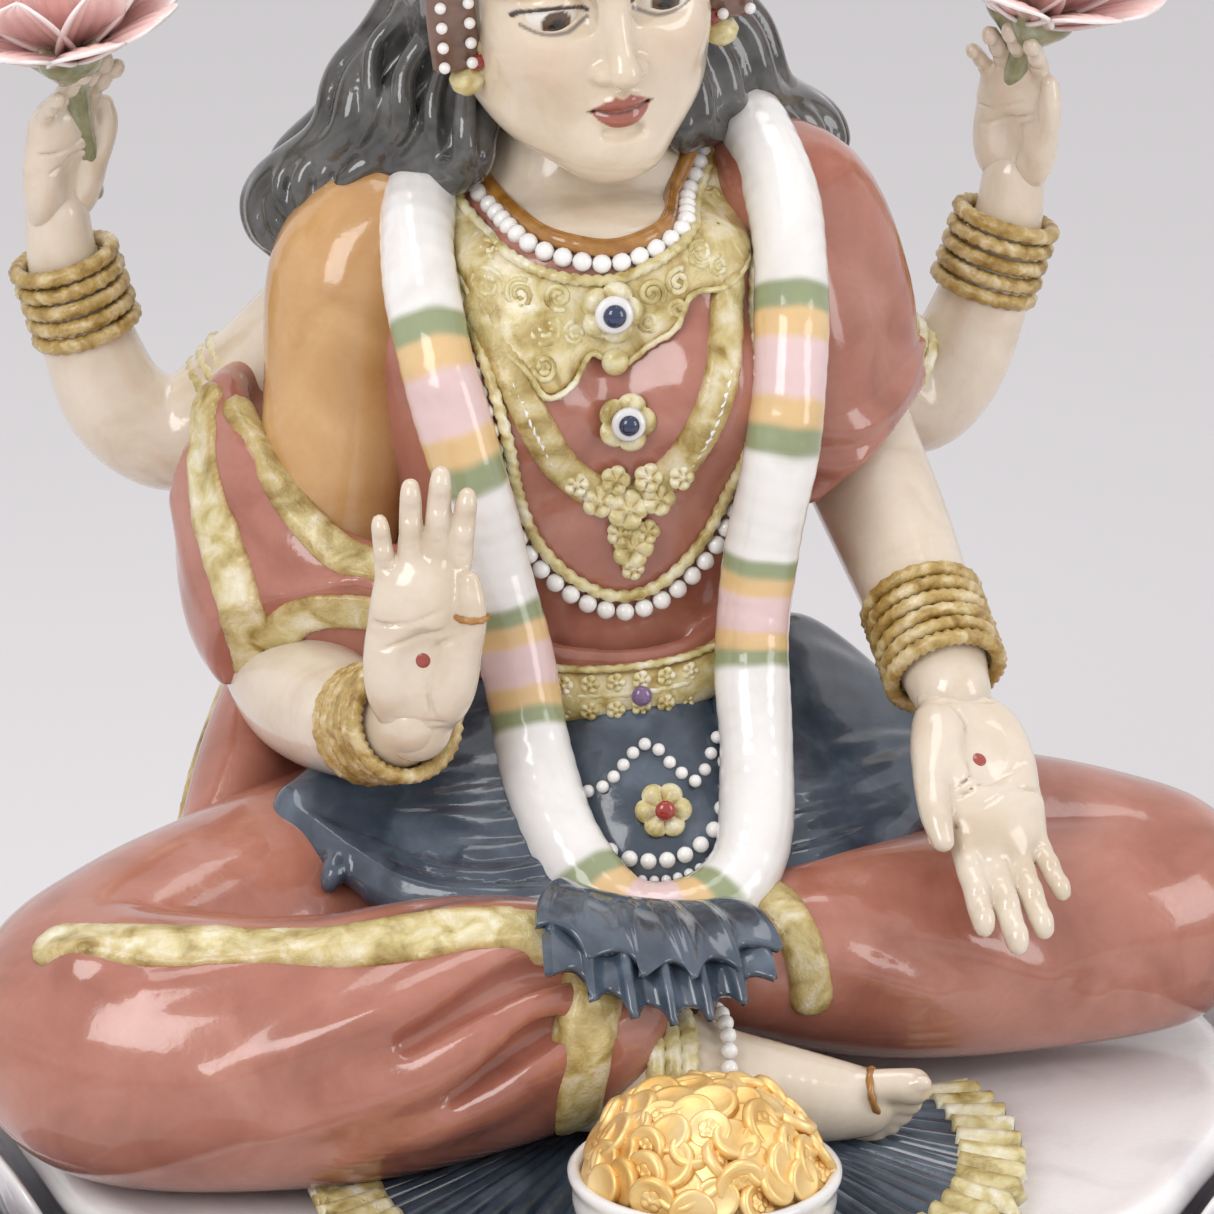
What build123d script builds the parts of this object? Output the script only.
from build123d import *
from math import cos, pi, radians, sin
import os

# A seated four-armed deity figurine in glazed porcelain, on a lotus seat.
# Millimetres, +Z up. She faces -Y, so her right side is -X. The origin is the centre of the flat base.

# ---- driving dimensions ----
SEAT_TOP = 62.0  # height of the lotus seat
SEAT_RADIUS = 100.0
FOOT_RADIUS = 88.0  # radius of the flat underside
CAST_WALL = 5.0  # slip-cast wall thickness
VENT_RADIUS = 5.0  # firing vent in the underside
SPINE_Y = 36.0  # the spine stands this far behind the centre of the seat
PETAL_COUNT = 16
PEARL_RADIUS = 1.6
TRIM = 1.6  # how far applied jewellery and borders stand proud of the body
GARLAND_RADIUS = 6.0
BANGLE_RADIUS = 1.25
COIN_RADIUS = 3.6
COIN_THICKNESS = 1.4
COIN_COUNT = 14  # coins lying loose on the heap
GOLDEN_ANGLE = 137.508  # spreads the coins evenly over the heap

# Level ellipses of the body from the seat to the neck: height, half width, half depth, y of the centre.
TORSO = [
    (SEAT_TOP, 46, 34, 2),
    (82, 45, 34, 0),
    (104, 37, 29, -2),
    (124, 30.5, 25.5, -3),
    (146, 34, 27, -4),
    (168, 40, 29, -4),
    (184, 42, 24, 0),
    (197, 37, 18, 4),
    (205, 24, 14, 5),
    (210, 15, 12.5, 4),
]


def level_loft(sections, grow=0.0):
    """A solid through level ellipses, each pushed outward by grow."""
    return loft([Plane(origin=(0, y, z)) * Ellipse(w + grow, d + grow) for z, w, d, y in sections])


def torso_section(z):
    """Half width, half depth and centre y of the body at one height."""
    for (z0, *low), (z1, *high) in zip(TORSO, TORSO[1:]):
        if z <= z1:
            t = (z - z0) / (z1 - z0)
            return [a + (b - a) * t for a, b in zip(low, high)]
    return TORSO[-1][1:]


def on_torso(x, z, proud=0.0):
    """The point on the front of the body at x and z, proud millimetres outside it."""
    w, d, y = torso_section(z)
    t = max(0.0, 1 - (x / w) ** 2) ** 0.5
    return Vector(x, y - (d * t + proud), z)


def limb(stations, flat=1.0, up=(0, 0, 1), round_start=True, round_end=True):
    """A rounded limb through stations (x, y, z, radius). flat scales its thickness along up."""
    points = [Vector(*s[:3]) for s in stations]
    radii = [s[3] for s in stations]
    ends = (points[1] - points[0]).normalized(), (points[-1] - points[-2]).normalized()
    middle = [(b - a).normalized() for a, b in zip(points, points[2:])]
    rings = list(zip(points, radii, [ends[0], *middle, ends[1]]))
    if round_start:
        for share, shrink in ((0.6, 0.75), (0.95, 0.25)):
            rings.insert(0, (points[0] - ends[0] * radii[0] * share, radii[0] * shrink, ends[0]))
    if round_end:
        for share, shrink in ((0.6, 0.75), (0.95, 0.25)):
            rings.append((points[-1] + ends[1] * radii[-1] * share, radii[-1] * shrink, ends[1]))
    faces = []
    for point, radius, along in rings:
        plane = Plane(origin=point, x_dir=Vector(*up).cross(along), z_dir=along)
        faces.append(plane * Ellipse(radius, radius * flat))
    return loft(faces)


def tube(points, radius, closed=False):
    """A round tube along a smooth line."""
    line = Spline(*points, periodic=closed)
    return sweep(Plane(origin=line @ 0, z_dir=line % 0) * Circle(radius), path=line)


def group(shapes):
    """Several separate solids in one node."""
    return Compound(children=[solid for shape in shapes for solid in shape.solids()])


def pearls_along(points, radius):
    """Pearls spaced a little over a diameter apart along a smooth line."""
    line = Spline(*points)
    count = int(line.length / (2.15 * radius))
    return group([Pos(line @ (i / count)) * Sphere(radius) for i in range(count + 1)])


def wrap_on_body(outline, grow):
    """The part of a skin over the body's front that lies behind an outline drawn in X and Z."""
    prism = extrude(Plane.XZ * outline, 80)
    return (level_loft(TORSO, grow) & prism) - body_solid


def cut(shape, *others):
    """shape without what others already fill, and without crumbs."""
    for other in others:
        shape = shape - other
    solids = shape.solids()
    most = max(solid.volume for solid in solids)
    return group([solid for solid in solids if solid.volume > 0.02 * most])


# ---- lotus seat ----
def lotus_base():
    outer = Polyline(
        (0, 0), (FOOT_RADIUS, 0), (FOOT_RADIUS, 4), (84, 20), (90, 40), (SEAT_RADIUS, 55),
        (SEAT_RADIUS, SEAT_TOP), (0, SEAT_TOP), (0, 0)
    )
    inner = Polyline(
        (0, CAST_WALL), (82, CAST_WALL), (78, 20), (84, 41), (SEAT_RADIUS - 7, 56),
        (SEAT_RADIUS - 7, SEAT_TOP - CAST_WALL), (0, SEAT_TOP - CAST_WALL), (0, CAST_WALL)
    )
    shell = revolve(Plane.XZ * make_face(outer)) - revolve(Plane.XZ * make_face(inner))
    vent = Pos(0, SPINE_Y, CAST_WALL / 2) * Cylinder(VENT_RADIUS, 3 * CAST_WALL)
    return Pos(0, -SPINE_Y, 0) * (shell - vent)


def petal_ring(profile, half_width, turn):
    """Separate petals round the seat. profile holds (radius, height, share of the half width)."""
    petals = []
    for i in range(PETAL_COUNT):
        stations = [(r, 0, z, half_width * share) for r, z, share in profile]
        petal = limb(stations, flat=0.14, up=(1, 0, -0.6), round_start=False)
        petals.append(Pos(0, -SPINE_Y, 0) * Rot(0, 0, turn + 360 / PETAL_COUNT * i) * petal)
    return group(petals)


# ---- hands ----
FINGERS = {  # root x, root z, length, sideways lean at the tip
    "index": (5.4, 19.5, 16.5, 1.0),
    "middle": (1.7, 20.0, 19.0, 0.4),
    "ring": (-2.1, 19.5, 17.5, -0.6),
    "little": (-5.8, 18.0, 13.5, -1.8),
}


def hand(thumb_side=1, curl=0.0, scale=1.0):
    """An open hand: wrist at the origin, fingers along +Z, palm facing -Y. curl bends the fingers forward."""
    palm = limb(
        [(0, 0, -2, 5.0), (0, 0, 6, 7.4), (0, 0, 14, 8.2), (0, 0, 19, 7.4)], flat=0.48, up=(0, 1, 0)
    )
    pieces = [palm]
    for x, z, length, lean in FINGERS.values():
        reach = length * (1 - 0.3 * curl)
        bend = -length * curl
        pieces.append(
            limb(
                [
                    (x * 0.9, 0, z - 4, 2.0),
                    (x + lean * 0.5, bend * 0.35, z + reach * 0.5, 1.9),
                    (x + lean, bend, z + reach, 1.5),
                ],
                up=(0, 1, 0),
            )
        )
    pieces.append(limb([(4.0, -1.0, 4, 3.2), (8.6, -2.4, 11, 2.5), (9.6, -3.4, 19, 1.8)], up=(0, 1, 0)))
    whole = pieces[0]
    for piece in pieces[1:]:
        whole = whole + piece
    if thumb_side < 0:
        whole = mirror(whole, about=Plane.YZ)
    return whole.scale(scale) if scale != 1.0 else whole


def place_hand(wrist, along, palm_to, **kind):
    """Sets a hand at the wrist, its fingers along one direction and its palm facing another."""
    along = Vector(*along).normalized()
    across = Vector(*palm_to).cross(along).normalized() * -1
    return Plane(origin=wrist, x_dir=across, z_dir=along) * hand(**kind)


def bangles(start, end, radius, count):
    """Ring bangles side by side round a wrist, from start towards end."""
    start, end = Vector(*start), Vector(*end)
    along = (end - start).normalized()
    rings = []
    for i in range(count):
        centre = start + (end - start) * (i / max(1, count - 1))
        rings.append(Plane(origin=centre, z_dir=along) * Torus(radius, BANGLE_RADIUS))
    return group(rings)


def flower(centre, radius, petals, height):
    """A cupped lotus flower: two rings of separate petals."""
    made = []
    for ring, (count, spread, rise) in enumerate(((petals, 1.0, 0.75), (petals - 2, 0.55, 1.0))):
        for i in range(count):
            stations = [
                (0.22 * radius, 0, 0.1 * height, 0.12 * radius),
                (0.62 * radius * spread, 0, 0.35 * height * rise, 0.3 * radius),
                (radius * spread, 0, height * rise, 0.1 * radius),
            ]
            petal = limb(stations, flat=0.28, up=(1, 0, -1))
            made.append(Pos(*centre) * Rot(0, 0, 360 / count * (i + 0.5 * ring)) * petal)
    return group(made)


def rosette(centre, radius, depth, facing, lobes=6):
    """A small cast flower: an outline of lobes, standing depth millimetres out of centre."""
    outline = []
    for i in range(8 * lobes):
        a = 2 * pi * i / (8 * lobes)
        r = radius * (0.82 + 0.18 * abs(cos(lobes / 2 * a)))
        outline.append((r * cos(a), r * sin(a)))
    return Plane(origin=centre, z_dir=facing) * extrude(make_face(Polyline(*outline, outline[0])), depth)


def gem(centre, radius):
    return Pos(*centre) * Sphere(radius)


NODES = {}


def keep(name, shape):
    NODES[name] = shape
    return shape


# ---- seat and body ----
base = keep("lotus_base", lotus_base())
body_solid = level_loft(TORSO)
cavity = level_loft([(z, w - CAST_WALL, d - CAST_WALL, y) for z, w, d, y in TORSO[1:-2]])
keep("torso", body_solid - cavity)
keep("petals_upper", petal_ring([(94, 27, 0.55), (102, 38, 1), (109, 50, 0.95), (114, 60, 0.5)], 19.5, 0))
keep("petals_lower", petal_ring([(94, 23, 0.6), (103, 19, 1), (109, 11, 0.75)], 18.5, 180 / PETAL_COUNT))

right_thigh = limb([(-24, -6, 86, 22), (-58, -40, 88, 22), (-86, -58, 84, 20.5)])
right_shin = limb(
    [(-84, -66, 84, 21), (-54, -77, 84, 21), (-28, -80, 86, 18), (-11, -83, 85, 11)], round_end=False
)
left_thigh = limb([(24, -6, 86, 22), (58, -28, 87, 21), (84, -38, 84, 20)])
left_shin = limb(
    [(82, -41, 84, 19.5), (58, -47, 83, 19), (32, -54, 85, 16), (18, -58, 86, 12)], round_end=False
)
right_leg = keep("right_leg", cut(right_thigh + right_shin, body_solid, base))
left_leg = keep("left_leg", cut(left_thigh + left_shin, body_solid, base, right_leg))
foot = limb(
    [(-8, -83, 79, 8.5), (6, -84, 78, 9), (20, -85, 74, 8), (34, -85, 71, 5.5), (42, -85, 70, 3.4)],
    flat=0.9, round_start=False,
)
foot = keep("right_foot", cut(foot, left_leg, base))
cuff_plane = Plane(origin=(-3.5, -83.4, 78.8), z_dir=(1, 0, -0.08))
keep("anklet_cuff", cuff_plane * Torus(10.4, 1.6))
anklet = Plane(origin=(8, -84, 77.8), z_dir=(1, 0, -0.25))
keep("anklet_pearls", group([
    anklet * Pos(10.8 * cos(a), 10.8 * sin(a), 0) * Sphere(PEARL_RADIUS)
    for a in [2 * pi * i / 20 for i in range(20)]
]))

# ---- blue cloth: pleated fan under the feet, sash over the hips, ruffle ----
FAN = [
    (-50, -94), (-47, -112), (-30, -128), (0, -132), (28, -126), (43, -110), (48, -90), (30, -76), (-34, -76)
]
fan_face = make_face(Polyline(*FAN, FAN[0]))
fan = Pos(0, 0, SEAT_TOP) * extrude(fan_face, 3)
keep("skirt_fan", cut(fan, right_leg, left_leg, foot))
RIM = [(x * 1.09, y * 1.04) for x, y in FAN[:7]]
trim_face = make_face(Polyline(*RIM, *reversed(FAN[:7]), RIM[0]))
keep("skirt_fan_trim", cut(Pos(0, 0, SEAT_TOP) * extrude(trim_face, 3), right_leg, left_leg, fan))
sash = {}
for side, name, leg in ((-1, "sash_right", right_leg), (1, "sash_left", left_leg)):
    flare = limb([(side * 22, -14, 116, 11), (side * 34, -22, 106, 17), (side * 50, -34, 96, 19)], flat=0.9)
    sash[side] = keep(name, cut(flare, body_solid, leg))
apron = limb([(2, -27, 119, 12), (3, -38, 106, 17), (4, -50, 98, 15)], flat=0.7, up=(0, -1, 1))
apron = keep("apron", cut(apron, body_solid, right_leg, left_leg, sash[-1], sash[1]))
ruffle = limb([(-20, -72, 96, 8), (-6, -77, 93, 9), (8, -77, 93, 9), (24, -70, 96, 8)], flat=0.8)
ruffle = keep("ruffle", cut(ruffle, right_leg, left_leg, apron))

# ---- head, hair, crown ----
HEAD = Plane(origin=(-3.2, -12, 241.5), x_dir=(1, 0, 0.1), z_dir=(-0.10, -0.28, 1))  # her face tilts down
HEAD_SCALE = 1.13  # from a 54 mm head to hers
SKULL = [
    (-27, 4, 4, -14), (-24, 9, 9, -10), (-14, 14.5, 17, -4), (0, 18.5, 21, 0), (12, 18.5, 21.5, 2),
    (22, 13.5, 16, 3), (27, 4, 5, 3)
]  # height, half width, half depth and y of each level, measured from the eye line
skull = HEAD * loft([Plane(origin=(0, y, z)) * Ellipse(w, d) for z, w, d, y in SKULL]).scale(HEAD_SCALE)
neck = limb([(0, 3, 208, 12.6), (-1, 0, 219, 11.4), (-2, -4, 230, 11.4)], round_start=False)
head = keep("head", cut(skull + neck, body_solid))
hair_cap = HEAD * (Pos(0, 5, 6) * Sphere(23.5)).scale(HEAD_SCALE)
hair_back = limb(
    [(0, 12, 236, 22), (0, 22, 205, 27), (0, 28, 176, 25), (0, 33, 150, 15)], flat=0.62, up=(0, 1, 0.2)
)
side_lock = limb([(-20, 2, 222, 9), (-34, 2, 211, 9), (-50, 4, 200, 8), (-56, 6, 190, 5)])
hair_solid = hair_cap + hair_back + side_lock
brow_line = HEAD * (Pos(0, -22, 0) * Box(60, 24, 60)).scale(HEAD_SCALE)
hair = keep("hair", cut(hair_solid, skull, neck, body_solid, brow_line))
CROWN = [
    (0, 0), (24.5, 0), (25.6, 2), (24.6, 5), (22.4, 6.5), (23.2, 11), (20.6, 17), (18.4, 18), (19, 21),
    (17, 27), (13.4, 31), (11.6, 32), (12.4, 34.5), (9, 39.5), (6.4, 41), (4.4, 42), (4.8, 44.5), (3.4, 48),
    (0, 51), (0, 0)
]  # radius and height of its tiers
crown = HEAD * (Pos(0, 2, 17) * revolve(Plane.XZ * make_face(Polyline(*CROWN)))).scale(HEAD_SCALE)
crown = keep("crown", cut(crown, hair_cap, skull, hair_back))
ear_drops = []
for side in (-1, 1):
    ear_drops.append(HEAD * (Pos(side * 24.5, -3, -4) * Box(4, 8, 22)).scale(HEAD_SCALE))
keep("ear_ornaments", cut(group(ear_drops), hair, crown, head))

# ---- arms ----
sleeve = limb([(-38, 2, 190, 15), (-48, -2, 166, 13.5), (-53, -7, 142, 12)])
sleeve = keep("right_sleeve", cut(sleeve, body_solid))
RIGHT_WRIST = (-37, -58.5, 131)
forearm = limb([(-51, -12, 124, 11), (-45.5, -36, 124.5, 9), (-38.5, -55, 129, 6.8)], round_end=False)
forearm = keep("right_forearm", cut(forearm, sleeve, sash[-1], right_leg))
right_hand = place_hand(RIGHT_WRIST, (0.05, 0.02, 1), (-0.15, -1, 0.05), thumb_side=-1)
keep("right_hand", cut(right_hand, forearm))
keep("bangles_right", bangles((-43, -42, 125.8), (-39.5, -52, 128.4), 9.6, 4))
pallu = limb([(34, 3, 194, 17), (46, 2, 172, 17), (52, 0, 152, 14)])
pallu = keep("pallu_left", cut(pallu, body_solid))
LEFT_WRIST = (52, -47, 123.5)
left_arm = limb([(50, -4, 149, 11.5), (50.5, -24, 138, 10.5), (51.8, -44, 125.5, 7.2)], round_end=False)
left_arm = keep("left_arm", cut(left_arm, pallu, left_leg))
left_hand = place_hand(LEFT_WRIST, (0.09, -0.8, -0.59), (0.1, -0.6, 0.8), thumb_side=1, scale=1.15)
keep("left_hand", cut(left_hand, left_arm))
keep("bangles_left", bangles((50.8, -29, 135), (51.5, -39, 128.6), 9.6, 5))
rear = {}
for side, word, out in ((-1, "right", 7), (1, "left", 0)):  # her right rear arm reaches further out
    arm = limb([
        (side * 36, 17, 182, 10), (side * 50, 21, 165, 10), (side * (60 + out), 23, 155, 10),
        (side * (72 + out), 24, 172, 8.5), (side * (77 + out), 22, 190, 6.2)
    ], round_end=False)
    rear[side] = keep(f"rear_arm_{word}", cut(arm, body_solid, sleeve, pallu))
    rear_hand = place_hand(
        (side * (77.2 + out), 22, 191), (-side * 0.06, -0.2, 1), (-side * 0.7, -1, 0), thumb_side=-side,
        curl=0.45, scale=0.9
    )
    keep(f"rear_hand_{word}", cut(rear_hand, rear[side]))
    low, high = (side * (73 + out), 23.9, 175), (side * (75.6 + out), 22.8, 184)
    keep(f"bangles_rear_{word}", bangles(low, high, 9.8, 4))
    keep(f"lotus_bud_{word}", Pos(side * (74 + out), 12, 219) * Sphere(7.2))
    keep(f"lotus_flower_{word}", flower((side * (74 + out), 12, 226), 19, 8, 16))
keep("armlets", group([
    Plane(origin=(side * 54, 22, 160.5), z_dir=(side * 0.85, 0.1, -0.5)) * Torus(11.9, 1.5)
    for side in (-1, 1)
]))

# ---- shawl ----
shawl = limb([(-55, 8, 153, 11), (-54, -5, 136, 14), (-49, -20, 130, 14)], round_end=False)
shawl = keep("shawl_right", cut(shawl, sleeve, forearm, rear[-1], body_solid))
tail = limb([(-50, 14, 130, 10), (-62, 4, 110, 12), (-72, -10, 96, 9)], flat=0.5, up=(1, 1, 0))
keep("shawl_tail", cut(tail, right_leg, shawl, body_solid, sash[-1]))

# ---- garland and jewellery ----
GARLAND = [
    (27, -4, 207), (29, -29, 186), (28, -37, 166), (25, -37, 146), (22, -37, 128), (21, -47, 112),
    (15, -60, 101), (4, -65, 98), (-9, -61, 100), (-16, -50, 110), (-18, -38, 127), (-22, -37, 146),
    (-26, -38, 166), (-28, -30, 186), (-27, -4, 205)
]
keep("garland", cut(tube(GARLAND, GARLAND_RADIUS), body_solid, apron, ruffle))
keep("torque", Plane(origin=(-0.6, 0, 205), z_dir=(-0.08, -0.38, 1)) * Torus(16, 1.9))
choker_at = Plane(origin=(0, 0, 204), z_dir=(-0.08, -0.38, 1))
keep("choker_pearls", group([
    choker_at * Pos(19.8 * cos(a), 19.8 * sin(a), 0) * Sphere(PEARL_RADIUS)
    for a in [2 * pi * i / 36 for i in range(36)]
]))


def u_band(half_width, top, bottom, band):
    """A U-shaped band drawn in X and Z, hanging from top to bottom."""
    tall = top - bottom - half_width
    middle = (top + bottom + half_width) / 2
    round_end = Pos(0, bottom + half_width) * Circle(half_width)
    hole = Pos(0, bottom + half_width) * Circle(half_width - band)
    outer = round_end + Pos(0, middle) * Rectangle(2 * half_width, tall)
    inner = hole + Pos(0, middle + 1) * Rectangle(2 * (half_width - band), tall + 4)
    return outer - inner


collar_face = make_face(Polyline(
    (-24, 205), (-21, 186), (-12, 179), (-1, 180), (6, 183), (13, 189), (21, 198), (24, 205), (-24, 205)
))
keep("collar", wrap_on_body(collar_face - Pos(0, 211) * Circle(17), TRIM))
keep("necklace", wrap_on_body(u_band(19.5, 190, 155, 4.4), TRIM * 1.2))
keep("long_chain", wrap_on_body(u_band(22.5, 178, 133, 1.6), TRIM))
chain_line = [on_torso(24 * cos(a), 158 + 26.5 * sin(a), PEARL_RADIUS + 0.1)
              for a in [radians(d) for d in range(180, 361, 15)]]
keep("chain_pearls", pearls_along(chain_line, PEARL_RADIUS))


def front_of(x, z, proud):
    """A place on the body's front and the way it faces."""
    p = on_torso(x, z)
    return p + Vector(0, -proud, 0), (x * 0.02, -1, 0.1)


PENDANTS = (  # name, x, z, radius, depth
    ("pendant_upper", -1.5, 188, 6, 3), ("pendant_lower", 0.6, 170, 5, 3),
    ("necklace_flowers", 1.6, 158, 6.5, 3.4), ("flower_drop", 2, 149, 4.2, 3)
)
for name, x, z, radius, depth in PENDANTS:
    at, facing = front_of(x, z, TRIM + 0.8)
    keep(name, rosette(at, radius, depth, facing))
at, _ = front_of(-0.8, 179.5, 2.4)
keep("pendant_bead", gem(at, 2.3))
keep("belt", wrap_on_body(Pos(2, 124) * Rectangle(40, 8.5), TRIM * 1.4))
skirt_line = [Vector(4 + 13.5 * cos(a), -55 + 8 * sin(a), 108 + 9 * sin(a))
              for a in [radians(d) for d in range(170, 371, 20)]]
keep("skirt_pearls", pearls_along(skirt_line, 1.5))
keep("medallion", rosette((3.5, -51, 109), 5, 3.5, (0, -1, 0.6)))
gem_places = [front_of(x, z, out)[0] for x, z, out in ((-1.5, 188, 5.2), (0.6, 170, 5.2), (3.8, 124, 4.2))]
gem_places.append((3.5, -54.6, 110.5))
keep("gems", group([gem(place, 1.6) for place in gem_places]))

# ---- pot of coins ----
POT_AT = (-2.8, -119.5, SEAT_TOP + 3)
POT = [
    (0, 0), (12, 0), (18, 6), (19.6, 10), (20.2, 14.4), (18.4, 14.4), (17.6, 10), (15, 6.5), (0, 4), (0, 0)
]  # radius and height of its outline
pot = keep("pot", Pos(*POT_AT) * revolve(Plane.XZ * make_face(Polyline(*POT))))
HEAP_Z = 10.5  # centre of the heap's dome above the foot of the pot
HEAP_RADIUS = 15.6
heap = Sphere(HEAP_RADIUS) & (Pos(0, 0, 14) * Box(60, 60, 20))
keep("coin_heap", Pos(*POT_AT) * Pos(0, 0, HEAP_Z) * heap)
coins = []
for i in range(COIN_COUNT):
    turn = i * GOLDEN_ANGLE
    tilt = 14 + 50 * (i / COIN_COUNT) ** 0.5
    lean = Pos(*POT_AT) * Pos(0, 0, HEAP_Z) * Rot(0, 0, turn) * Rot(0, tilt, 0)
    lift = HEAP_RADIUS + COIN_THICKNESS / 2 + 0.2
    coins.append(lean * Pos(0, 0, lift) * Cylinder(COIN_RADIUS, COIN_THICKNESS))
keep("coins", group(coins))

# ---- one file per piece, the seat's centre moved to the origin ----
os.makedirs("parts", exist_ok=True)
for name, shape in NODES.items():
    export_step(Pos(0, SPINE_Y, 0) * group([shape]), f"parts/{name}.step")
print(len(NODES), "nodes")
